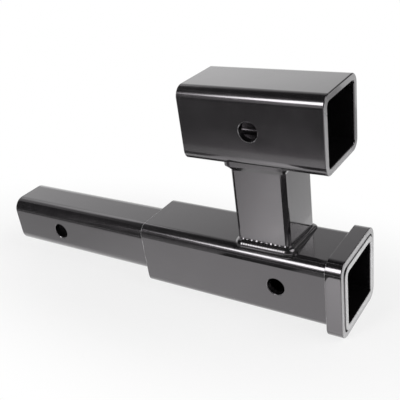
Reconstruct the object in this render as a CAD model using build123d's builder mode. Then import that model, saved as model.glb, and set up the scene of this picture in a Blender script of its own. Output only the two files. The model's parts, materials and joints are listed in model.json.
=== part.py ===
from build123d import *

import math
import os

# Dual hitch receiver: a square shank, a lower receiver tube with a mouth collar, and an upper receiver tube
# carried above it on a welded riser post.
#
# Frame: the origin is the centre of the shank's pin hole. +X runs along the tubes towards the two mouths,
# +Y runs along the pin holes, +Z is up. All sizes are in millimetres.

# Shank, the square tube that goes into the vehicle's own receiver
shank_side = 50.8
shank_wall = 6.35
shank_corner = 12.7
shank_exposed = 181.0  # from the shank's free end to the lower receiver tube
shank_seat = 70.0  # length of shank inside the lower receiver tube
shank_pin_setback = 64.0  # from the shank's free end to its pin hole

# Receiver tubes, both cut from the same square tube
socket_clearance = 0.4  # each side, between a shank and the socket it enters
socket_corner = 4.0
receiver_wall = 5.95
receiver_corner = 9.5
lower_length = 203.0
upper_length = 125.6
socket_pin_setback = 62.8  # from a receiver's mouth to its pin hole
upper_setback = 12.0  # the upper mouth stands this far behind the lower one
axis_rise = 140.0  # height of the upper tube's axis above the lower tube's axis

# Pin holes, for the usual 5/8 inch hitch pin
pin_diameter = 15.875
pin_clearance = 0.3125  # each side
pin_hole_chamfer = 0.5

# Mouth collar, a band round the end of the lower receiver tube
collar_wall = 5.5
collar_length = 14.3
collar_corner = 11.0
collar_corner_relief = 4.5  # how much sharper the collar's inner corners are than the tube's outer ones
mouth_proud = 1.0  # the tube's end stands this far out of the collar

# Riser post
post_side = 49.4
post_wall = 6.35
post_corner = 4.0
post_inner_corner = 1.5

# Welds
base_bead_radius = 5.2
base_bead_lift = 0.7  # at the near side, height of the bead's middle above the lower tube
base_bead_dip = 4.0  # the bead lies this much lower at the far side, sunk over the tube's corner
base_bead_tuck = 1.8  # the bead's rear run lies this far under the post's skin
head_weld_out = 5.2
head_weld_down = 5.4
head_weld_lean = 2.0  # the weld reaches this much lower at its rear end than at its front end
shank_weld_leg = 4.0
shank_weld_corner = 1.0  # corner radius of the weld's opening where it meets the shank
shank_weld_slope = 45  # degrees between the weld's face and the tube's axis

# Edges
mouth_round = 1.0  # rounding of the outer edges at the upper mouth and the collar's face
end_break = 0.7  # chamfer of the other edges of the cut ends
sharp_break = 0.4  # chamfer of the crisper edges: the lower tube's rear end and the collar's rear face
edge_reach = 0.01  # an edge this near to a plane belongs to it

# Sizes that follow
shank_bore = shank_side - 2 * shank_wall
shank_bore_corner = max(shank_corner - shank_wall, mouth_round)
socket_side = shank_side + 2 * socket_clearance
receiver_side = socket_side + 2 * receiver_wall
collar_side = receiver_side + 2 * collar_wall
collar_inner_corner = max(receiver_corner - collar_corner_relief, mouth_round)
post_bore = post_side - 2 * post_wall
pin_hole_radius = pin_diameter / 2 + pin_clearance
shank_weld_opening = socket_side - 2 * shank_weld_leg

shank_end_x = -shank_pin_setback
lower_rear_x = shank_end_x + shank_exposed
lower_mouth_x = lower_rear_x + lower_length
shank_inner_x = lower_rear_x + shank_seat
lower_pin_x = lower_mouth_x - socket_pin_setback
collar_front_x = lower_mouth_x - mouth_proud
upper_mouth_x = lower_mouth_x - upper_setback
upper_rear_x = upper_mouth_x - upper_length
upper_pin_x = upper_mouth_x - socket_pin_setback
post_x = (upper_mouth_x + upper_rear_x) / 2

lower_top_z = receiver_side / 2
upper_under_z = axis_rise - receiver_side / 2
base_bead_z = lower_top_z + base_bead_lift - base_bead_dip / 2
base_bead_tilt = math.degrees(math.atan2(base_bead_dip, post_side))
head_weld_tilt = math.degrees(math.atan2(head_weld_lean, post_side))

os.makedirs("parts", exist_ok=True)


def end_ring(part, at_x):
    """The flat ring at the cut end of a tube, at this place along X."""
    return part.faces().filter_by_position(Axis.X, at_x - edge_reach, at_x + edge_reach)[0]


def pin_hole_rims(part, side):
    """The circles where a pin hole opens on the two side faces of a tube of this width."""
    circles = part.edges().filter_by(GeomType.CIRCLE)
    near = circles.filter_by_position(Axis.Y, -side / 2 - edge_reach, -side / 2 + edge_reach)
    far = circles.filter_by_position(Axis.Y, side / 2 - edge_reach, side / 2 + edge_reach)
    return near + far


# Shank tube: open at both ends, with the pin hole through both side walls
with BuildPart() as shank_tube:
    with BuildSketch(Plane.YZ.offset(shank_end_x)):
        RectangleRounded(shank_side, shank_side, shank_corner)
        RectangleRounded(shank_bore, shank_bore, shank_bore_corner, mode=Mode.SUBTRACT)
    extrude(amount=shank_inner_x - shank_end_x)
    chamfer(end_ring(shank_tube, shank_end_x).edges(), end_break)
    with BuildSketch(Plane.XZ):
        Circle(pin_hole_radius)
    extrude(amount=shank_side, both=True, mode=Mode.SUBTRACT)
    chamfer(pin_hole_rims(shank_tube, shank_side), pin_hole_chamfer)
shank_tube.part.label = "shank_tube"
export_step(shank_tube.part, "parts/shank_tube.step")

# Lower receiver tube: the shank fills its rear, and its mouth takes a hitch bar
with BuildPart() as lower_receiver_tube:
    with BuildSketch(Plane.YZ.offset(lower_rear_x)):
        RectangleRounded(receiver_side, receiver_side, receiver_corner)
        RectangleRounded(socket_side, socket_side, socket_corner, mode=Mode.SUBTRACT)
    extrude(amount=lower_length)
    chamfer(end_ring(lower_receiver_tube, lower_mouth_x).edges(), end_break)
    chamfer(end_ring(lower_receiver_tube, lower_rear_x).edges(), sharp_break)
    with BuildSketch(Plane.XZ):
        with Locations((lower_pin_x, 0)):
            Circle(pin_hole_radius)
    extrude(amount=receiver_side, both=True, mode=Mode.SUBTRACT)
    chamfer(pin_hole_rims(lower_receiver_tube, receiver_side), pin_hole_chamfer)
lower_receiver_tube.part.label = "lower_receiver_tube"
export_step(lower_receiver_tube.part, "parts/lower_receiver_tube.step")

# Upper receiver tube: a short length of the same tube, open right through
with BuildPart() as upper_receiver_tube:
    with BuildSketch(Plane.YZ.offset(upper_rear_x)):
        with Locations((0, axis_rise)):
            RectangleRounded(receiver_side, receiver_side, receiver_corner)
            RectangleRounded(socket_side, socket_side, socket_corner, mode=Mode.SUBTRACT)
    extrude(amount=upper_length)
    fillet(end_ring(upper_receiver_tube, upper_mouth_x).outer_wire().edges(), mouth_round)
    chamfer(end_ring(upper_receiver_tube, upper_mouth_x).inner_wires()[0].edges(), end_break)
    chamfer(end_ring(upper_receiver_tube, upper_rear_x).edges(), end_break)
    with BuildSketch(Plane.XZ):
        with Locations((upper_pin_x, axis_rise)):
            Circle(pin_hole_radius)
    extrude(amount=receiver_side, both=True, mode=Mode.SUBTRACT)
    chamfer(pin_hole_rims(upper_receiver_tube, receiver_side), pin_hole_chamfer)
upper_receiver_tube.part.label = "upper_receiver_tube"
export_step(upper_receiver_tube.part, "parts/upper_receiver_tube.step")

# Mouth collar: its flats bear on the tube, and its inner corners are sharper than the tube's,
# so a small three-cornered gap stays open at each corner
with BuildPart() as mouth_collar:
    with BuildSketch(Plane.YZ.offset(collar_front_x - collar_length)):
        RectangleRounded(collar_side, collar_side, collar_corner)
        RectangleRounded(receiver_side, receiver_side, collar_inner_corner, mode=Mode.SUBTRACT)
    extrude(amount=collar_length)
    fillet(end_ring(mouth_collar, collar_front_x).outer_wire().edges(), mouth_round)
    chamfer(end_ring(mouth_collar, collar_front_x - collar_length).outer_wire().edges(), sharp_break)
mouth_collar.part.label = "mouth_collar"
export_step(mouth_collar.part, "parts/mouth_collar.step")

# The space that the receiver tubes fill, taken out of whatever is fitted against them
with BuildPart() as receiver_space:
    with BuildSketch(Plane.YZ.offset(lower_rear_x)):
        with Locations((0, 0), (0, axis_rise)):
            RectangleRounded(receiver_side, receiver_side, receiver_corner)
    extrude(amount=lower_length)

# The space inside the post's outer skin, from the lower tube's axis to the upper one's
with BuildPart() as post_space:
    with BuildSketch(Plane.XY):
        with Locations((post_x, 0)):
            RectangleRounded(post_side, post_side, post_corner)
    extrude(amount=axis_rise)

# Riser post: both ends are coped to the rounded corners of the tubes that they meet
with BuildPart() as riser_post:
    add(post_space)
    with BuildSketch(Plane.XY):
        with Locations((post_x, 0)):
            RectangleRounded(post_bore, post_bore, post_inner_corner)
    extrude(amount=axis_rise, mode=Mode.SUBTRACT)
    add(receiver_space, mode=Mode.SUBTRACT)
riser_post.part.label = "riser_post"
export_step(riser_post.part, "parts/riser_post.step")

half_post = post_side / 2
bead_clip = 4 * base_bead_radius  # a square larger than the bead's section
weld_root = post_corner / 2  # the weld sections start this far inside the post's skin, which is then cut away


def post_outline(rear_tuck=0.0):
    """The post's outline round the origin, with its rear side this far inside the post's skin."""
    rear = rear_tuck - half_post
    return FilletPolyline(
        (rear, -half_post),
        (half_post, -half_post),
        (half_post, half_post),
        (rear, half_post),
        radius=post_corner,
        close=True,
    )


def seam_plane(outline):
    """The plane across the start of a closed outline: its x points out of the outline and its y points up."""
    along = outline.line % 0
    return Plane(origin=outline.line @ 0, x_dir=along.cross(Vector(0, 0, 1)), z_dir=-along)


# Base weld: a full round bead round the foot of the post, tucked in over the lower tube's corners
with BuildPart() as riser_base_weld:
    with BuildLine(Plane((post_x, 0, base_bead_z)).rotated((-base_bead_tilt, 0, 0))) as foot_outline:
        post_outline(base_bead_tuck)
    with BuildSketch(seam_plane(foot_outline)) as bead_section:
        Circle(base_bead_radius)
        with Locations((-weld_root, 0)):
            Rectangle(
                bead_clip,
                bead_clip,
                align=(Align.MIN, Align.CENTER),
                mode=Mode.INTERSECT,
            )
    sweep(sections=bead_section.sketch, path=foot_outline.line)
    add(post_space, mode=Mode.SUBTRACT)
    add(receiver_space, mode=Mode.SUBTRACT)
riser_base_weld.part.label = "riser_base_weld"
export_step(riser_base_weld.part, "parts/riser_base_weld.step")

# Head weld: a flat fillet under the upper tube, rising round the tube's corners
with BuildPart() as riser_head_weld:
    with BuildLine(Plane((post_x, 0, upper_under_z)).rotated((0, -head_weld_tilt, 0))) as head_outline:
        post_outline()
    with BuildSketch(seam_plane(head_outline)) as fillet_section:
        with BuildLine():
            Polyline(
                (0, -head_weld_down),
                (head_weld_out, 0),
                (head_weld_out, receiver_corner),
                (-weld_root, receiver_corner),
                (-weld_root, -head_weld_down),
                close=True,
            )
        make_face()
    sweep(sections=fillet_section.sketch, path=head_outline.line)
    add(post_space, mode=Mode.SUBTRACT)
    add(receiver_space, mode=Mode.SUBTRACT)
riser_head_weld.part.label = "riser_head_weld"
export_step(riser_head_weld.part, "parts/riser_head_weld.step")

# Shank weld: the fillet inside the lower tube, against the end of the shank, where the socket bottoms
with BuildPart() as shank_weld:
    with BuildSketch(Plane.YZ.offset(shank_inner_x)):
        RectangleRounded(socket_side, socket_side, socket_corner)
    extrude(amount=shank_weld_leg)
    with BuildSketch(Plane.YZ.offset(shank_inner_x)):
        RectangleRounded(shank_weld_opening, shank_weld_opening, shank_weld_corner)
    extrude(amount=shank_weld_leg, taper=-shank_weld_slope, mode=Mode.SUBTRACT)
shank_weld.part.label = "shank_weld"
export_step(shank_weld.part, "parts/shank_weld.step")
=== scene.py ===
import json
import math

import bpy
import numpy as np
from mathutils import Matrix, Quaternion, Vector


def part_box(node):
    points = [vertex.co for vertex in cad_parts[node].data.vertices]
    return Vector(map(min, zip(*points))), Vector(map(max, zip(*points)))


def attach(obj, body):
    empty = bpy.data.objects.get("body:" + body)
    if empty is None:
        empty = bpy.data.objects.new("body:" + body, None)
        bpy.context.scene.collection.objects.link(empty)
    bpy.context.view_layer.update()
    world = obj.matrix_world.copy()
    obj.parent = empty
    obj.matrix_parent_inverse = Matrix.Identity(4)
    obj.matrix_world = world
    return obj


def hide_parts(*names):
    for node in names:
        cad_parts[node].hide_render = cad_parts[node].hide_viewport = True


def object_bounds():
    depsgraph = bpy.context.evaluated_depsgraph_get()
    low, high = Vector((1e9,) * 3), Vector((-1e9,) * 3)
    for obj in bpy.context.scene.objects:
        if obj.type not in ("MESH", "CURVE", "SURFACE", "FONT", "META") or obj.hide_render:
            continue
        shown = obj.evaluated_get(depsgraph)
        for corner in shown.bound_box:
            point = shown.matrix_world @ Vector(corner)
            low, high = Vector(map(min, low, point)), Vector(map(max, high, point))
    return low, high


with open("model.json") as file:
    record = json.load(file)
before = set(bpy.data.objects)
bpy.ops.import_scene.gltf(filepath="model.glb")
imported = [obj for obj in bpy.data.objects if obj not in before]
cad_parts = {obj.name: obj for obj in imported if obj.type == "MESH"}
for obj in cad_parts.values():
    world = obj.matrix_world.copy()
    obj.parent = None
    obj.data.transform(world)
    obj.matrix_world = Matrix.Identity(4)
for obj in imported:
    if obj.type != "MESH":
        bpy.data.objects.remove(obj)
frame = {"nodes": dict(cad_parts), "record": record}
cad_low, cad_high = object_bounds()
mounts = {mount["name"]: mount for mount in frame["record"]["mounts"]}

# Lower receiver tube. A 63.5 mm square steel tube, sawn to length and drilled for the hitch pin.
# Everything on the part is sprayed with the same gloss black powder, whose film flows out to a
# faint orange peel. The sawn ends, the rear edges and the rims of the holes are painted paler: painted
# highlights.
COAT_BLACK = (0.0078, 0.0074, 0.0080, 1.0)
COAT_BLACK_DUSTY = (0.0120, 0.0115, 0.0122, 1.0)
# Painted shade: the inside of a tube is painted darker than the outside, and its gloss is taken away below.
PAINTED_INSIDE_SHADE = (0.0030, 0.0029, 0.0031, 1.0)
# Painted highlight on the chamfer round a pin hole.
PAINTED_HOLE_HIGHLIGHT = (0.1100, 0.1090, 0.1120, 1.0)
# Painted highlights: a sawn end's face is painted grey, and the lower tube's end face and the rear edges are
# painted paler still.
PAINTED_END_HIGHLIGHT = (0.2500, 0.2480, 0.2520, 1.0)
PAINTED_BRIGHT_HIGHLIGHT = (0.5200, 0.5180, 0.5220, 1.0)
COAT_TINT = (1.0, 0.925, 0.990, 1.0)
COLOUR_IOR = 1.8
GLOSS_IOR = 1.5
GLOSS_ROUGHNESS = 0.05
CLEAN_ROUGHNESS = 0.13
DUSTY_ROUGHNESS = 0.20
INSIDE_ROUGHNESS = 0.25
END_ROUGHNESS = 0.35
PEEL_SIZE = 0.0016
PEEL_DEPTH = 0.000004
PEEL_BROAD = 0.22  # the broad humps' number against the fine ones', and their height below
PEEL_BROAD_HEIGHT = 3.0
CLOUDS = 38.0
PIN_HOLE_RADIUS = mounts["lower_pin_hole"]["dims"]["r_mm"] / 1000
SOCKET_HALF = 0.0258
END_RIM = 0.0003
HOLE_RIM = 0.0005
REAR_EDGE = 0.00058  # breadth of the painted highlight line along the sharp rear edge, which the collar's rear has narrower
OFF_END = 0.00002  # the rear end itself, which stays black, is left out by this much
OFF_BORE = 0.00003  # and so is a pin hole's wall
OFF_WALL = 0.00005  # the inside of a tube is taken this much past its wall
HIGHLIGHT_FADE_SIDE = (-0.012, 0.026)  # where the painted highlight on an end face fades in, towards the near lower corner


def new_group(name, inputs, outputs):
    """An empty node group with named sockets, and its two ends."""
    group = bpy.data.node_groups.new(name, "ShaderNodeTree")
    for socket, kind, default in inputs:
        made = group.interface.new_socket(socket, in_out="INPUT", socket_type=kind)
        if default is not None:
            made.default_value = default
    for socket, kind in outputs:
        group.interface.new_socket(socket, in_out="OUTPUT", socket_type=kind)
    return group, group.nodes.new("NodeGroupInput"), group.nodes.new("NodeGroupOutput")


def add_node(tree, kind, values=(), **settings):
    """A node in the tree, with its settings and the values of its unlinked inputs."""
    node = tree.nodes.new(kind)
    for key, value in settings.items():
        setattr(node, key, value)
    for socket, value in dict(values).items():
        node.inputs[socket].default_value = value
    return node


def orange_peel():
    """Normal of a film that flowed out to low soft humps: two sizes of noise, added and bumped."""
    group, start, end = new_group(
        "orange_peel",
        [
            ("Place", "NodeSocketVector", None),
            ("Size", "NodeSocketFloat", PEEL_SIZE),
            ("Depth", "NodeSocketFloat", PEEL_DEPTH),
        ],
        [("Normal", "NodeSocketVector")],
    )
    scale = add_node(group, "ShaderNodeMath", {0: 1.0}, operation="DIVIDE")
    fine = add_node(group, "ShaderNodeTexNoise", {"Detail": 2.0, "Roughness": 0.45})
    broad = add_node(group, "ShaderNodeMath", {1: PEEL_BROAD}, operation="MULTIPLY")
    waves = add_node(group, "ShaderNodeTexNoise", {"Detail": 1.0, "Roughness": 0.4})
    total = add_node(group, "ShaderNodeMath", {1: PEEL_BROAD_HEIGHT}, operation="MULTIPLY_ADD")
    bump = add_node(group, "ShaderNodeBump", {"Strength": 1.0})
    link = group.links.new
    link(start.outputs["Size"], scale.inputs[1])
    link(scale.outputs[0], fine.inputs["Scale"])
    link(scale.outputs[0], broad.inputs[0])
    link(broad.outputs[0], waves.inputs["Scale"])
    link(start.outputs["Place"], fine.inputs["Vector"])
    link(start.outputs["Place"], waves.inputs["Vector"])
    link(waves.outputs[0], total.inputs[0])
    link(fine.outputs[0], total.inputs[2])
    link(total.outputs[0], bump.inputs["Height"])
    link(start.outputs["Depth"], bump.inputs["Distance"])
    link(bump.outputs["Normal"], end.inputs["Normal"])
    return group


def coat_tone():
    """Colour and roughness of the film: broad soft clouds with a little fine dust in them."""
    group, start, end = new_group(
        "coat_tone",
        [
            ("Place", "NodeSocketVector", None),
            ("Clean", "NodeSocketColor", COAT_BLACK),
            ("Dusty", "NodeSocketColor", COAT_BLACK_DUSTY),
            ("Smooth", "NodeSocketFloat", CLEAN_ROUGHNESS),
            ("Rough", "NodeSocketFloat", DUSTY_ROUGHNESS),
        ],
        [("Colour", "NodeSocketColor"), ("Roughness", "NodeSocketFloat")],
    )
    clouds = add_node(group, "ShaderNodeTexNoise", {"Scale": CLOUDS, "Detail": 5.0, "Roughness": 0.62})
    spread = add_node(group, "ShaderNodeMapRange", {"From Min": 0.35, "From Max": 0.72})
    spread.interpolation_type = "SMOOTHSTEP"
    tint = add_node(group, "ShaderNodeMix", data_type="RGBA")
    gloss = add_node(group, "ShaderNodeMix", data_type="FLOAT")
    link = group.links.new
    link(start.outputs["Place"], clouds.inputs["Vector"])
    link(clouds.outputs[0], spread.inputs["Value"])
    link(spread.outputs[0], tint.inputs[0])
    link(spread.outputs[0], gloss.inputs[0])
    link(start.outputs["Clean"], tint.inputs[6])
    link(start.outputs["Dusty"], tint.inputs[7])
    link(start.outputs["Smooth"], gloss.inputs[2])
    link(start.outputs["Rough"], gloss.inputs[3])
    link(tint.outputs[2], end.inputs["Colour"])
    link(gloss.outputs[0], end.inputs["Roughness"])
    return group


def rim_mask():
    """Masks from a place, for painted highlights and painted shade: a sawn end's flat, a rear end's sharp
    edge, a hole's chamfer and a tube's inside.

    The first two are bands beside a plane across X, the third is a ring round the hole's axis, and the last
    is the square that the bore takes up. One more input fades the painted highlight on the first one out
    towards the far upper corner.
    """
    group, start, end = new_group(
        "rim_mask",
        [
            ("Place", "NodeSocketVector", None),
            ("Plane", "NodeSocketFloat", 0.0),
            ("Rear", "NodeSocketFloat", 9.0),
            ("Rear edge", "NodeSocketFloat", REAR_EDGE),
            ("Hole X", "NodeSocketFloat", 0.0),
            ("Axis Z", "NodeSocketFloat", 0.0),
            ("Hole radius", "NodeSocketFloat", PIN_HOLE_RADIUS),
            ("End rim", "NodeSocketFloat", END_RIM),
            ("Hole rim", "NodeSocketFloat", HOLE_RIM),
            ("Bore half", "NodeSocketFloat", 0.0),
            ("Highlight fade", "NodeSocketFloat", 0.0),
        ],
        [(mask, "NodeSocketFloat") for mask in ("End", "Edge", "Hole", "Inside")],
    )
    link = group.links.new
    parts = add_node(group, "ShaderNodeSeparateXYZ")
    link(start.outputs["Place"], parts.inputs[0])

    def math_node(operation, first, second):
        """The result of this operation on two values, each a socket, a number, or None where it takes one."""
        node = add_node(group, "ShaderNodeMath", operation=operation)
        for socket, value in zip(node.inputs, (first, second)):
            if isinstance(value, bpy.types.NodeSocket):
                link(value, socket)
            elif value is not None:
                socket.default_value = value
        return node.outputs[0]

    x, y, z = (parts.outputs[axis] for axis in "XYZ")
    from_plane = math_node("ABSOLUTE", math_node("SUBTRACT", x, start.outputs["Plane"]), None)
    on_flat = math_node("LESS_THAN", from_plane, start.outputs["End rim"])
    from_rear = math_node("ABSOLUTE", math_node("SUBTRACT", x, start.outputs["Rear"]), None)
    near_rear = math_node("LESS_THAN", from_rear, start.outputs["Rear edge"])
    link(math_node("MULTIPLY", near_rear, math_node("GREATER_THAN", from_rear, OFF_END)), end.inputs["Edge"])
    across = math_node("SUBTRACT", x, start.outputs["Hole X"])
    above = math_node("SUBTRACT", z, start.outputs["Axis Z"])
    squares = math_node("ADD", math_node("POWER", across, 2.0), math_node("POWER", above, 2.0))
    from_hole = math_node("SUBTRACT", math_node("SQRT", squares, None), start.outputs["Hole radius"])
    past_wall = math_node("GREATER_THAN", from_hole, OFF_BORE)
    before_face = math_node("LESS_THAN", from_hole, start.outputs["Hole rim"])
    off_axis = math_node("MAXIMUM", math_node("ABSOLUTE", y, None), math_node("ABSOLUTE", above, None))
    inside = math_node("LESS_THAN", off_axis, math_node("ADD", start.outputs["Bore half"], OFF_WALL))
    # A painted highlight that fades: the end face's pale colour goes out towards the far upper corner.
    low_side = math_node("MULTIPLY", math_node("ADD", y, above), -1.0)
    lean = add_node(group, "ShaderNodeMapRange", {"From Min": HIGHLIGHT_FADE_SIDE[0], "From Max": HIGHLIGHT_FADE_SIDE[1]})
    lean.interpolation_type = "SMOOTHSTEP"
    link(low_side, lean.inputs["Value"])
    faded = math_node("SUBTRACT", 1.0, lean.outputs["Result"])
    left = math_node("SUBTRACT", 1.0, math_node("MULTIPLY", faded, start.outputs["Highlight fade"]))
    link(math_node("MULTIPLY", on_flat, left), end.inputs["End"])
    link(math_node("MULTIPLY", past_wall, before_face), end.inputs["Hole"])
    link(inside, end.inputs["Inside"])
    return group


PEEL = orange_peel()
TONE = coat_tone()
RIM = rim_mask()


def coated_steel(
    name,
    plane=None,
    rear=None,
    edge=REAR_EDGE,
    hole=None,
    axis_z=0.0,
    bore=None,
    end_colour=PAINTED_END_HIGHLIGHT,
    uneven=0.0,
):
    """Gloss black powder coat on a steel piece: painted highlights, paler on a sawn end, a rear edge and
    round a hole, and painted shade, dark and dull, inside a tube.
    """
    material = bpy.data.materials.new(name)
    material.use_nodes = True
    tree = material.node_tree
    link = tree.links.new
    shader = tree.nodes["Principled BSDF"]
    shader.inputs["IOR"].default_value = COLOUR_IOR
    shader.inputs["Specular Tint"].default_value = COAT_TINT
    shader.inputs["Coat Weight"].default_value = 1.0
    shader.inputs["Coat IOR"].default_value = GLOSS_IOR
    shader.inputs["Coat Roughness"].default_value = GLOSS_ROUGHNESS
    place = add_node(tree, "ShaderNodeTexCoord").outputs["Object"]
    peel = add_node(tree, "ShaderNodeGroup", node_tree=PEEL)
    tone = add_node(tree, "ShaderNodeGroup", node_tree=TONE)
    link(place, peel.inputs["Place"])
    link(place, tone.inputs["Place"])
    link(peel.outputs["Normal"], shader.inputs["Normal"])
    colour, roughness = tone.outputs["Colour"], tone.outputs["Roughness"]

    def over(mask, below, above, data_type):
        """The value above where the mask is 1, and what comes from below elsewhere."""
        blend = add_node(tree, "ShaderNodeMix", data_type=data_type)
        first, second, out = (6, 7, 2) if data_type == "RGBA" else (2, 3, 0)
        link(mask, blend.inputs[0])
        link(below, blend.inputs[first])
        blend.inputs[second].default_value = above
        return blend.outputs[out]

    if plane is not None or hole is not None or bore is not None:
        rim = add_node(tree, "ShaderNodeGroup", {"Axis Z": axis_z, "Highlight fade": uneven}, node_tree=RIM)
        link(place, rim.inputs["Place"])
        # A painted highlight: the face of a sawn end takes a pale colour.
        if plane is not None:
            rim.inputs["Plane"].default_value = plane
            colour = over(rim.outputs["End"], colour, end_colour, "RGBA")
            roughness = over(rim.outputs["End"], roughness, END_ROUGHNESS, "FLOAT")
        # A painted highlight: a thin pale line along the rear edge.
        if rear is not None:
            rim.inputs["Rear"].default_value = rear
            rim.inputs["Rear edge"].default_value = edge
            colour = over(rim.outputs["Edge"], colour, PAINTED_BRIGHT_HIGHLIGHT, "RGBA")
        # A painted highlight: a paler ring on the chamfer round the pin hole.
        if hole is not None:
            rim.inputs["Hole X"].default_value = hole
            colour = over(rim.outputs["Hole"], colour, PAINTED_HOLE_HIGHLIGHT, "RGBA")
        # Painted shade: inside the bore the colour goes darker and the coat's gloss is taken away, so the
        # hollow reads dark.
        if bore is not None:
            rim.inputs["Bore half"].default_value = bore
            colour = over(rim.outputs["Inside"], colour, PAINTED_INSIDE_SHADE, "RGBA")
            roughness = over(rim.outputs["Inside"], roughness, INSIDE_ROUGHNESS, "FLOAT")
            clear = add_node(tree, "ShaderNodeMath", {0: 1.0}, operation="SUBTRACT")
            link(rim.outputs["Inside"], clear.inputs[1])
            link(clear.outputs[0], shader.inputs["Coat Weight"])
    link(colour, shader.inputs["Base Color"])
    link(roughness, shader.inputs["Roughness"])
    return material


def dress(node, material):
    """Gives a node of the frame its one material."""
    piece = frame["nodes"][node]
    piece.data.materials.clear()
    piece.data.materials.append(material)


lower_low, lower_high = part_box("lower_receiver_tube")
dress(
    "lower_receiver_tube",
    coated_steel(
        "lower_tube_coat",
        plane=lower_high.x,
        rear=lower_low.x,
        hole=mounts["lower_pin_hole"]["pos_m"][0],
        bore=SOCKET_HALF,
        end_colour=PAINTED_BRIGHT_HIGHLIGHT,
    ),
)

# Shank. A 50.8 mm square tube with wide corners, sawn and drilled, that slides into the vehicle's receiver.
# It carries the same coat.
SHANK_BORE_HALF = 0.01905
shank_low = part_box("shank_tube")[0]
dress(
    "shank_tube",
    coated_steel(
        "shank_coat",
        plane=shank_low.x,
        hole=mounts["shank_pin_hole"]["pos_m"][0],
        bore=SHANK_BORE_HALF,
    ),
)

# Mouth collar. A short band bent from flat bar and pressed round the lower tube's mouth to stiffen it.
# Its face is painted pale against the dark socket as a painted highlight, and along its sharp rear edge runs
# a narrower painted highlight line.
PAINTED_COLLAR_HIGHLIGHT = (0.3100, 0.3080, 0.3120, 1.0)
COLLAR_EDGE = 0.00018
collar_low, collar_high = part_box("mouth_collar")
dress(
    "mouth_collar",
    coated_steel(
        "collar_coat",
        plane=collar_high.x,
        rear=collar_low.x,
        edge=COLLAR_EDGE,
        end_colour=PAINTED_COLLAR_HIGHLIGHT,
    ),
)

# Riser post. A 49.4 mm square tube set upright on the lower receiver and welded at its foot and its head.
# Both its ends are hidden, so it has no bare edge.
dress("riser_post", coated_steel("post_coat"))

# Upper receiver tube. A short length of the same tube as the lower one, open at both ends.
# The face of its mouth is painted pale as a painted highlight, full towards the near lower corner and fading
# out towards the far upper one.
upper_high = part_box("upper_receiver_tube")[1]
dress(
    "upper_receiver_tube",
    coated_steel(
        "upper_tube_coat",
        plane=upper_high.x,
        hole=mounts["upper_pin_hole"]["pos_m"][0],
        axis_z=mounts["upper_pin_hole"]["pos_m"][2],
        bore=SOCKET_HALF,
        uneven=1.0,
    ),
)

# Base weld. One thick bead run by hand round the foot of the post, lower at the far side, where it sinks
# over the tube's corner. It froze in small crescent ripples, which show as scallops along its upper toe.
BEAD_RADIUS = 0.0052
BEAD_LIFT = 0.0007  # height of the bead's middle above the lower tube, at the near side
BEAD_DIP = 0.0040  # it lies this much lower at the far side
BEAD_TUCK = 0.0018  # its rear run lies this far under the post's skin
BEAD_CORNER = 0.0040
BEAD_SINK = 0.00015  # how far its hidden edges reach into the tubes
BEAD_FACE = 0.000028  # how much flatter it is about the angle and over the width that follow
FACE_ANGLE = 0.62
FACE_WIDTH = 0.5
FACE_WAVES = 9
RIPPLE_PITCH = 0.0023
RIPPLE_CROWN = 0.00003
CRESCENT = 1.6  # how strongly a ripple is bent back beside its crown
SCALLOP_PITCH = 0.0043
SCALLOP_RISE = 0.0013
SCALLOP_SLOPE = 0.73  # how far a scallop's foot stands out from the post, over its rise
SCALLOP_LEAD = 1.0
SCALLOP_SHARE = 0.1
SCALLOP_SOFTNESS = 0.15
SCALLOP_MEAN = 0.88
SCALLOP_LOWEST = 0.50
SCALLOP_LEAST = 0.06
DRIFT = [(0.9, 3, 1.0), (0.6, 7, 0.0)]  # how the hand shifted the ripples along the bead
SWELL = [(0.35, 5, 2.0), (0.25, 11, 0.5)]  # how their height came and went
SCALLOP_SWAY = [(0.30, 13, 2.0), (0.25, 29, 0.5)]  # and that of the scallops
BEAD_STATIONS = 1100
BEAD_ARC = 40
BEVEL_PLACES = (0.0, 0.17, 0.45, 0.80, 0.96)  # rows of places down a scallop, as shares of its bevel
LOWEST_TOE, HIGHEST_TOE = -np.pi / 2, 1.4  # the angles between which the bead meets the tube
LOWEST_TOP, HIGHEST_TOP = 0.5, 2.6  # and those between which it meets the post
ROOT_REACH = 0.02
TUBE_CORNER = 0.0095


def rounded_path(low, high, corner, count):
    """Points and outward directions evenly spaced along a rectangle with rounded corners.

    The way along the outline is cut into four straight runs and four quarter circles. A place on a quarter
    circle is its centre plus the radius times the cosine and sine of the angle gone. A place on a run is
    where the next quarter circle starts, less the way that is left to it. The outline runs counterclockwise
    from the start of the side at the least y.
    """
    span = high - low - 2 * corner
    lengths = np.array([span[0], span[1], span[0], span[1]])
    arc = corner * np.pi / 2
    ends = np.cumsum(np.repeat(lengths, 2) * np.tile([1, 0], 4) + np.tile([0, arc], 4))
    way = np.arange(count) * ends[-1] / count
    leg = np.searchsorted(ends, way, side="right")
    gone = way - np.concatenate([[0.0], ends])[leg]
    side = leg // 2
    turned = side * np.pi / 2
    along = np.stack([np.cos(turned), np.sin(turned)], axis=1)
    centres = np.array(
        [
            [high[0] - corner, low[1] + corner],
            [high[0] - corner, high[1] - corner],
            [low[0] + corner, high[1] - corner],
            [low[0] + corner, low[1] + corner],
        ]
    )
    on_arc = leg % 2 == 1
    angle = turned - np.pi / 2 + np.where(on_arc, gone / corner, 0.0)
    outward = np.stack([np.cos(angle), np.sin(angle)], axis=1)
    back = np.where(on_arc, 0.0, lengths[side] - gone)
    points = centres[side] + corner * outward - along * back[:, None]
    return points, outward, way, ends[-1]


def hand_sway(phase, waves):
    """A sum of sines along the bead, each of a height, a number of waves and a start, as a hand sways."""
    return sum(height * np.sin(count * phase + start) for height, count, start in waves)


def meet(inside, outside, gap):
    """The value at which gap, a signed distance, passes from below 0 to above it, found by halving."""
    for _ in range(40):
        middle = (inside + outside) / 2
        below = gap(middle) < 0
        inside = np.where(below, middle, inside)
        outside = np.where(below, outside, middle)
    return (inside + outside) / 2


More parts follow.
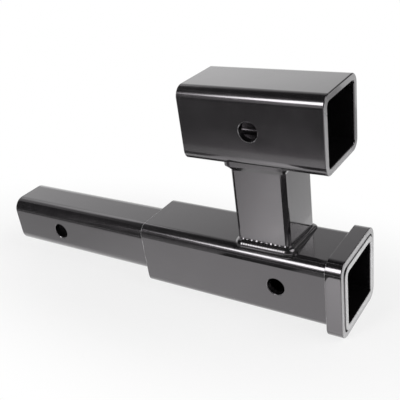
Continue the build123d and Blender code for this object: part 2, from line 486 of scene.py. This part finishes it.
def base_bead():
    """The bead as one closed skin.

    Its middle line is the post's outline, tucked in at the rear and tilted to lie lower at the far side.
    Round that line goes a circle, slightly flattened on its face, whose radius swells a little with a cosine
    of the way along, bent back with the square of the angle, so that the ripples are crescents. At the upper
    toe the bead runs up the post in small scallops: flat bevels, whose height is a steep step of a slower
    cosine. The skin is open to view from where the scallops leave the post to where the circle meets the
    tube, and it closes under both surfaces.
    """
    post_low, post_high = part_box("riser_post")
    tube_low, tube_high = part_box("lower_receiver_tube")
    centre = np.array([(post_low.x + post_high.x) / 2, 0.0])
    half = (post_high.x - post_low.x) / 2
    low = np.array([-half + BEAD_TUCK, -half])
    points, outward, way, length = rounded_path(low, np.array([half, half]), BEAD_CORNER, BEAD_STATIONS)
    tilt = -math.atan2(BEAD_DIP, 2 * half)
    turn = np.array([[1, 0, 0], [0, math.cos(tilt), -math.sin(tilt)], [0, math.sin(tilt), math.cos(tilt)]])
    flat = np.zeros((BEAD_STATIONS, 1))
    middle = np.hstack([points, flat]) @ turn.T
    middle += [centre[0], centre[1], tube_high.z + BEAD_LIFT - BEAD_DIP / 2]
    out = np.hstack([outward, flat]) @ turn.T
    up = turn @ np.array([0.0, 0.0, 1.0])
    count = round(length / RIPPLE_PITCH)
    phase = 2 * np.pi * way / length
    drift = hand_sway(phase, DRIFT)
    swell = 1 + hand_sway(phase, SWELL)

    def radius(angle):
        """The circle's radius at an angle, counted from straight out towards up."""
        from_crown = angle - np.pi / 4
        wave = np.cos(count * phase + drift - CRESCENT * from_crown**2)
        from_face = angle - FACE_ANGLE
        flat_face = np.cos(FACE_WAVES * from_face) * np.exp(-((from_face / FACE_WIDTH) ** 2))
        return BEAD_RADIUS + wave * swell * RIPPLE_CROWN - BEAD_FACE * flat_face

    def place(angle, reach):
        """Places at an angle and a reach round the middle line."""
        offset = (reach * np.cos(angle))[..., None] * out + (reach * np.sin(angle))[..., None] * up
        return middle + offset

    def above_tube(place_at):
        """Distance from the lower tube's skin: its top, its side or the round corner between them."""
        flank = np.maximum(np.abs(place_at[..., 1]) - (tube_high.y - TUBE_CORNER), 0.0)
        level = np.maximum(place_at[..., 2] - (tube_high.z - TUBE_CORNER), 0.0)
        return np.hypot(flank, level) - TUBE_CORNER

    def outside_post(place_at):
        """Distance from the post's skin, seen from above."""
        across = np.abs(place_at[..., :2] - centre) - (half - BEAD_CORNER)
        return np.hypot(*np.moveaxis(np.maximum(across, 0.0), -1, 0)) - BEAD_CORNER

    ones = np.ones(BEAD_STATIONS)
    toe = meet(
        LOWEST_TOE * ones,
        HIGHEST_TOE * ones,
        lambda angle: above_tube(place(angle, radius(angle))) + BEAD_SINK,
    )
    top = meet(
        HIGHEST_TOP * ones,
        np.maximum(toe, LOWEST_TOP),
        lambda angle: outside_post(place(angle, radius(angle))) + BEAD_SINK,
    )
    share = np.linspace(0.0, 1.0, BEAD_ARC)[:, None]
    scallops = round(length / SCALLOP_PITCH)
    crest = np.cos(scallops * phase + drift - SCALLOP_LEAD) + SCALLOP_SHARE
    step = 1 / (1 + np.exp(-crest / SCALLOP_SOFTNESS))
    uneven = np.clip(SCALLOP_MEAN + hand_sway(phase, SCALLOP_SWAY), SCALLOP_LOWEST, 1.0)
    rise = SCALLOP_RISE * np.maximum(step * uneven, SCALLOP_LEAST)
    shoulder = top - SCALLOP_SLOPE * rise / BEAD_RADIUS
    angles = shoulder + (toe - shoulder) * share
    skin = place(angles, radius(angles))
    tip = place(top, radius(top)) + rise[:, None] * up
    scallop = tip + (skin[0] - tip) * np.array(BEVEL_PLACES)[:, None, None]
    skin = np.concatenate([scallop, skin])
    root_out = skin[0] - middle
    inward = (root_out * out).sum(axis=1) - 2 * BEAD_SINK
    drop = meet(
        -ROOT_REACH * ones,
        ROOT_REACH * ones,
        lambda height: above_tube(middle + inward[:, None] * out + height[:, None] * up) + 2 * BEAD_SINK,
    )
    root = middle + inward[:, None] * out + drop[:, None] * up
    closing = np.array([1, 2, 3])[:, None, None] / 3
    under = skin[-1] + (root - skin[-1]) * closing
    behind = root + (skin[0] - root) * closing[:2]
    rings = np.concatenate([skin, under, behind]).transpose(1, 0, 2)
    return closed_skin("base_bead", rings)


def closed_skin(name, rings):
    """A mesh through closed rings of places: each place is joined to the next one in its ring and to the
    same two in the next ring, and the last ring is joined to the first."""
    stations, around = rings.shape[:2]
    station, place = np.meshgrid(np.arange(stations), np.arange(around), indexing="ij")
    ahead, beside = (station + 1) % stations, (place + 1) % around
    ring, next_ring = station * around, ahead * around
    corners = np.stack([ring + place, ring + beside, next_ring + beside, next_ring + place], axis=-1)
    skin = bpy.data.meshes.new(name)
    skin.vertices.add(stations * around)
    skin.vertices.foreach_set("co", rings.ravel())
    skin.loops.add(corners.size)
    skin.loops.foreach_set("vertex_index", corners.ravel())
    skin.polygons.add(stations * around)
    skin.polygons.foreach_set("loop_start", np.arange(stations * around) * 4)
    skin.polygons.foreach_set("use_smooth", np.ones(stations * around, dtype=bool))
    skin.update(calc_edges=True)
    piece = bpy.data.objects.new(name, skin)
    bpy.context.scene.collection.objects.link(piece)
    return piece


bead = base_bead()
bead.data.materials.append(coated_steel("base_bead_coat"))
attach(bead, "root")
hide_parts("riser_base_weld")

# Head weld and shank weld. The first is a smooth, nearly flat fillet under the upper tube. The second is
# hidden in the lower tube, at the shank's inner end. Both lie under the same coat as the rest.
for weld in ("riser_head_weld", "shank_weld"):
    dress(weld, coated_steel(weld + "_coat"))

# Floor. A plain pale studio floor, on which the lowest edge of the collar stands. Near the part it shows
# the shadow, and further away it goes over into the white of a backlit sweep.
FLOOR_HALF = 6.0
FLOOR_COLOUR = (0.93, 0.93, 0.93, 1.0)
FLOOR_ROUGHNESS = 0.9
FLOOR_SHARE_NEAR = 0.76  # share of the backlight near the part, where the rest is the lit paper
FLOOR_NEAR = 0.08
FLOOR_FAR = 0.20
FLOOR_LONG = 0.45  # the way along the part counts this much, so that the place near it is long
floor_z = cad_low.z
middle = (cad_low + cad_high) / 2
mesh = bpy.data.meshes.new("floor")
mesh.from_pydata(
    [
        (-FLOOR_HALF, -FLOOR_HALF, floor_z),
        (FLOOR_HALF, -FLOOR_HALF, floor_z),
        (FLOOR_HALF, FLOOR_HALF, floor_z),
        (-FLOOR_HALF, FLOOR_HALF, floor_z),
    ],
    [],
    [(0, 1, 2, 3)],
)
floor = bpy.data.objects.new("floor", mesh)
bpy.context.scene.collection.objects.link(floor)
floor_material = bpy.data.materials.new("floor_paper")
floor_material.use_nodes = True
floor_tree = floor_material.node_tree
floor_shader = floor_tree.nodes["Principled BSDF"]
floor_shader.inputs["Base Color"].default_value = FLOOR_COLOUR
floor_shader.inputs["Roughness"].default_value = FLOOR_ROUGHNESS
floor_shader.inputs["Specular IOR Level"].default_value = 0.0
floor_place = add_node(floor_tree, "ShaderNodeTexCoord")
floor_round = add_node(floor_tree, "ShaderNodeVectorMath", operation="MULTIPLY")
floor_round.inputs[1].default_value = (FLOOR_LONG, 1.0, 1.0)
floor_away = add_node(floor_tree, "ShaderNodeVectorMath", operation="DISTANCE")
floor_away.inputs[1].default_value = (FLOOR_LONG * middle.x, 0.0, floor_z)
floor_share = add_node(
    floor_tree,
    "ShaderNodeMapRange",
    {"From Min": FLOOR_NEAR, "From Max": FLOOR_FAR, "To Min": FLOOR_SHARE_NEAR, "To Max": 1.0},
    interpolation_type="SMOOTHSTEP",
)
floor_path = add_node(floor_tree, "ShaderNodeLightPath")
floor_seen = add_node(floor_tree, "ShaderNodeMath", operation="MAXIMUM")
floor_seen_through = add_node(floor_tree, "ShaderNodeMath", operation="MAXIMUM")
floor_amount = add_node(floor_tree, "ShaderNodeMath", operation="MULTIPLY")
floor_glow = add_node(floor_tree, "ShaderNodeEmission", {"Strength": 1.0})
floor_mix = add_node(floor_tree, "ShaderNodeMixShader")
link = floor_tree.links.new
link(floor_place.outputs["Object"], floor_round.inputs[0])
link(floor_round.outputs["Vector"], floor_away.inputs[0])
link(floor_away.outputs["Value"], floor_share.inputs["Value"])
link(floor_path.outputs["Is Camera Ray"], floor_seen.inputs[0])
link(floor_path.outputs["Is Glossy Ray"], floor_seen.inputs[1])
link(floor_seen.outputs[0], floor_seen_through.inputs[0])
link(floor_path.outputs["Is Transmission Ray"], floor_seen_through.inputs[1])
link(floor_seen_through.outputs[0], floor_amount.inputs[0])
link(floor_share.outputs["Result"], floor_amount.inputs[1])
link(floor_amount.outputs[0], floor_mix.inputs[0])
link(floor_shader.outputs[0], floor_mix.inputs[1])
link(floor_glow.outputs[0], floor_mix.inputs[2])
link(floor_mix.outputs[0], floor_tree.nodes["Material Output"].inputs["Surface"])
mesh.materials.append(floor_material)

# Studio. A pale backdrop that fades to a dark ceiling, and the wedge of a softbox in front on the left, with
# a black flag beside it, a graded panel below it and dim panels behind. Strips of lit and black cloth lie on
# the floor, and only the gloss of the coat mirrors them. Two more strips, close to the bead and the post's
# edge, are painted reflection and painted shade that only that gloss shows.
BACKDROP = [  # degrees above the floor, and brightness
    (0, 0.96),
    (8, 0.94),
    (11.5, 0.92),
    (14.5, 0.92),
    (17, 0.96),
    (19, 0.92),
    (21.5, 0.74),
    (24, 0.70),
    (27, 0.68),
    (30, 0.62),
    (33, 0.54),
    (38, 0.46),
    (43, 0.38),
    (47, 0.26),
    (51, 0.16),
    (55, 0.05),
    (60, 0.035),
    (90, 0.03),
]
LIGHT_LEFT = {"From Min": -0.80, "From Max": -0.30, "To Min": 1.20, "To Max": 0.86}
DARK_RIGHT = {"From Min": -0.10, "From Max": 0.15, "To Min": 1.0, "To Max": 0.12}
world = bpy.data.worlds.new("studio")
bpy.context.scene.world = world
world.use_nodes = True
tree = world.node_tree
link = tree.links.new
background = tree.nodes["Background"]
direction = add_node(tree, "ShaderNodeTexCoord").outputs["Generated"]
split = add_node(tree, "ShaderNodeSeparateXYZ")
ramp = add_node(tree, "ShaderNodeValToRGB")
to_left = add_node(tree, "ShaderNodeMapRange", LIGHT_LEFT)
to_right = add_node(tree, "ShaderNodeMapRange", DARK_RIGHT, interpolation_type="SMOOTHSTEP")
in_gloss = add_node(tree, "ShaderNodeMix", {2: 1.0}, data_type="FLOAT")
both = add_node(tree, "ShaderNodeMath", operation="MULTIPLY")
link(direction, split.inputs[0])
link(split.outputs["Z"], ramp.inputs[0])
link(split.outputs["X"], to_left.inputs["Value"])
link(split.outputs["X"], to_right.inputs["Value"])
link(add_node(tree, "ShaderNodeLightPath").outputs["Is Glossy Ray"], in_gloss.inputs[0])
link(to_right.outputs["Result"], in_gloss.inputs[3])
link(to_left.outputs["Result"], both.inputs[0])
link(in_gloss.outputs[0], both.inputs[1])
link(ramp.outputs[0], background.inputs["Color"])
link(both.outputs[0], background.inputs["Strength"])
while len(ramp.color_ramp.elements) < len(BACKDROP):
    ramp.color_ramp.elements.new(1.0)
for element, (elevation, level) in zip(ramp.color_ramp.elements, BACKDROP):
    element.position = math.sin(math.radians(elevation))
    element.color = (level, level, level, 1.0)


def cloth_glow():
    """Cloth that shines as strongly as its own attribute says: near 0 it is black cloth, above it is lit."""
    material = bpy.data.materials.new("studio_cloth")
    material.use_nodes = True
    tree = material.node_tree
    tree.nodes.remove(tree.nodes["Principled BSDF"])
    level = add_node(tree, "ShaderNodeAttribute", attribute_name="glow")
    glow = add_node(tree, "ShaderNodeEmission")
    tree.links.new(level.outputs["Fac"], glow.inputs["Strength"])
    tree.links.new(glow.outputs[0], tree.nodes["Material Output"].inputs["Surface"])
    return material


CLOTH = cloth_glow()


def cloth(name, rows, levels, lights=False):
    """A strip of cloth through rows of places, with the brightness at each.

    The camera doesn't see it, and unless it lights, only the gloss of the coat does.
    """
    across = len(rows[0])
    places = [tuple(place) for row in rows for place in row]
    faces = [
        (near, near + 1, near + across + 1, near + across)
        for near in range(len(places) - across)
        if near % across < across - 1
    ]
    strip = bpy.data.meshes.new(name)
    strip.from_pydata(places, [], faces)
    glow = strip.attributes.new("glow", "FLOAT", "POINT")
    glow.data.foreach_set("value", [float(level) for row in levels for level in row])
    strip.materials.append(CLOTH)
    holder = bpy.data.objects.new(name, strip)
    bpy.context.scene.collection.objects.link(holder)
    holder.visible_camera = False
    holder.visible_shadow = False
    holder.visible_diffuse = lights


STUDIO_CENTRE = Vector((0.24, -0.03, 0.12))
STUDIO_REACH = 4.0


def from_centre(azimuth, elevation):
    """A place of the studio seen from the part in this direction, azimuth counted from -Y towards -X."""
    a, e = math.radians(azimuth), math.radians(elevation)
    toward = Vector((-math.sin(a) * math.cos(e), -math.cos(a) * math.cos(e), math.sin(e)))
    return STUDIO_CENTRE + STUDIO_REACH * toward


def panel(name, azimuths, elevations, levels, lights=False):
    """Cloth on a stand far off, through rows of elevations at these azimuths."""
    rows = [[from_centre(a, e) for a, e in zip(azimuths, row)] for row in elevations]
    cloth(name, rows, levels, lights)


KEY_AZIMUTHS = (44, 39, 36.5, 32, 14)
KEY_LOW = (28.0, 26.3, 25.2, 23.8, 15.3)
KEY_HIGH = (30.5, 34.0, 35.2, 38.0, 48.5)
KEY_LEVELS = (1.1, 2.2, 6.0, 9.3, 9.3)
panel("key_panel", KEY_AZIMUTHS, (KEY_LOW, KEY_HIGH), (KEY_LEVELS, KEY_LEVELS), lights=True)
REAR_LEVELS = (0.7, 1.15, 1.15)
panel("rear_panel", (106, 118, 132), ((31, 31, 31), (44, 44, 44)), (REAR_LEVELS, REAR_LEVELS))
panel("left_flag", (46, 84), ((-2.0, -2.0), (48, 48)), ((0.05, 0.03), (0.08, 0.05)))
LOW_AZIMUTHS = (12, 17, 22, 27, 32, 36.5, 39, 45.5)
LOW_HIGH = (14.0, 16.2, 18.6, 21.0, 23.2, 24.6, 25.6, 27.5)
panel(
    "low_panel",
    LOW_AZIMUTHS,
    ([-2.5] * len(LOW_AZIMUTHS), LOW_HIGH),
    ((1.1, 1.0, 0.75, 0.50, 0.25, 0.15, 0.10, 0.06), (0.7, 0.7, 0.8, 0.85, 0.65, 0.40, 0.28, 0.12)),
)
panel(
    "right_panel",
    (-151.3, -158.5),
    ((26, 26), (30.4, 30.4), (31.2, 31.2), (36, 36)),
    ((3.0, 3.0), (3.0, 3.0), (1.2, 1.2), (1.0, 1.0)),
)

STRIP_Z = floor_z + 0.001
TUBE_Y, POST_Y, HEAD_Y, UPPER_Y, FRONT_Y = -0.042, -0.128, -0.300, -0.350, -0.610  # rows away from the part


def floor_strip(name, rows, levels):
    """Cloth on the floor, through rows of places given by their x and y."""
    cloth(name, [[(x, y, STRIP_Z) for x, y in row] for row in rows], levels)


NEAR_X = (-0.25, -0.14, -0.02, 0.06, 0.15)
NEAR_LEVELS = (0.62, 0.66, 0.72, 0.93, 1.02)
floor_strip(
    "near_strip",
    [
        [(x, TUBE_Y) for x in (*NEAR_X, 0.3010, 0.3040, 0.345)],
        [(x, POST_Y) for x in (*NEAR_X, 0.2630, 0.2660, 0.312)],
    ],
    [(*NEAR_LEVELS, 1.05, 1.36, 1.36), (*NEAR_LEVELS, 1.05, 1.90, 1.90)],
)
floor_strip(
    "post_strip",
    [
        [(x, POST_Y) for x in (0.130, 0.158, 0.185, 0.2145)],
        [(x, HEAD_Y) for x in (0.050, 0.076, 0.102, 0.1305)],
    ],
    [(0.90, 1.20, 1.62, 2.20), (0.80, 1.08, 1.32, 1.60)],
)
floor_strip(
    "upper_strip",
    [[(x, y) for x in (-0.10, -0.04, 0.06, 0.11, 0.22)] for y in (HEAD_Y, UPPER_Y)],
    [(0.48, 0.62, 0.92, 1.00, 1.45)] * 2,
)
floor_strip(
    "left_strip",
    [[(-0.60, -0.135), (0.095, -0.135)], [(-0.60, HEAD_Y), (0.045, HEAD_Y)]],
    [(0.16, 0.20), (0.10, 0.12)],
)
floor_strip(
    "corner_strip",
    [
        [
            (0.2145, POST_Y),
            (0.243, -0.139),
            (0.270, -0.150),
            (0.349, -0.134),
            (0.395, -0.067),
            (0.392, 0.012),
            (0.378, 0.048),
        ],
        [
            (0.1305, HEAD_Y),
            (0.222, HEAD_Y),
            (0.310, -0.370),
            (0.503, HEAD_Y),
            (0.600, -0.100),
            (0.600, 0.080),
            (0.540, 0.170),
        ],
    ],
    [[0.06] * 7, [0.05] * 7],
)
floor_strip(
    "right_strip",
    [
        [(0.333, 0.083), (0.333, 0.200)],
        [(0.425, 0.237), (0.425, 0.400)],
        [(0.640, 0.420), (0.640, 0.720)],
    ],
    [(0.74, 0.74), (0.60, 0.60), (0.35, 0.35)],
)
cloth(
    "front_strip",
    [
        [(-0.90, UPPER_Y, STRIP_Z), (0.24, UPPER_Y, STRIP_Z)],
        [(-0.90, FRONT_Y, STRIP_Z), (0.26, FRONT_Y, STRIP_Z)],
        [(-0.90, FRONT_Y, 0.134), (0.26, FRONT_Y, 0.134)],
    ],
    [(0.15, 0.15), (0.13, 0.13), (0.06, 0.06)],
)
# Painted reflection and painted shade: a strip beside the lower tube, seen only in the gloss, darkens the
# bead's flank and the band under the tube's highlight.
cloth(
    "bead_strip",
    [[(x, y, 0.020) for x in (0.106, 0.200, 0.208, 0.272, 0.280, 0.3045)] for y in (-0.0325, -0.0495)],
    [(0.34, 0.40, 0.05, 0.05, 0.36, 0.40), (0.14, 0.15, 0.03, 0.03, 0.12, 0.12)],
)
# Painted shade: a dark strip seen only in the gloss, which draws a black line along the post's left edge.
cloth(
    "post_edge_strip",
    [[(0.212, y, z) for y in (-0.026, -0.040)] for z in (0.038, 0.094)],
    [(0.03, 0.03)] * 2,
)

FILL_SIZE = (2.6, 2.1)
FILL_POWER = 53.0
FILL_AT = (-100, 45)
fill = bpy.data.lights.new("right_fill", "AREA")
fill.shape = "RECTANGLE"
fill.size, fill.size_y = FILL_SIZE
fill.energy = FILL_POWER
fill_holder = bpy.data.objects.new("right_fill", fill)
bpy.context.scene.collection.objects.link(fill_holder)
fill_holder.location = from_centre(*FILL_AT)
fill_holder.rotation_mode = "QUATERNION"
fill_holder.rotation_quaternion = (fill_holder.location - STUDIO_CENTRE).to_track_quat("Z", "Y")

# Camera. Where the picture was taken from: in front on the right, looking down, and a little tilted.
CAMERA_AT = Vector((0.48162, -0.42717, 0.32251))
CAMERA_TARGET = Vector((0.1691, 0.0, 0.03431))
CAMERA_ROLL = -8.359
CAMERA_LENS = 58.256
CAMERA_SHIFT = (-0.00755, 0.0444)
camera_data = bpy.data.cameras.new("camera")
camera_data.lens = CAMERA_LENS
camera_data.shift_x, camera_data.shift_y = CAMERA_SHIFT
camera_data.clip_start = 0.01
camera_data.clip_end = 50.0
camera = bpy.data.objects.new("camera", camera_data)
bpy.context.scene.collection.objects.link(camera)
camera.location = CAMERA_AT
camera.rotation_mode = "QUATERNION"
turn = Quaternion((0.0, 0.0, 1.0), math.radians(CAMERA_ROLL))
camera.rotation_quaternion = (CAMERA_TARGET - CAMERA_AT).to_track_quat("-Z", "Y") @ turn
bpy.context.scene.camera = camera
bpy.context.scene.view_settings.view_transform = "Standard"
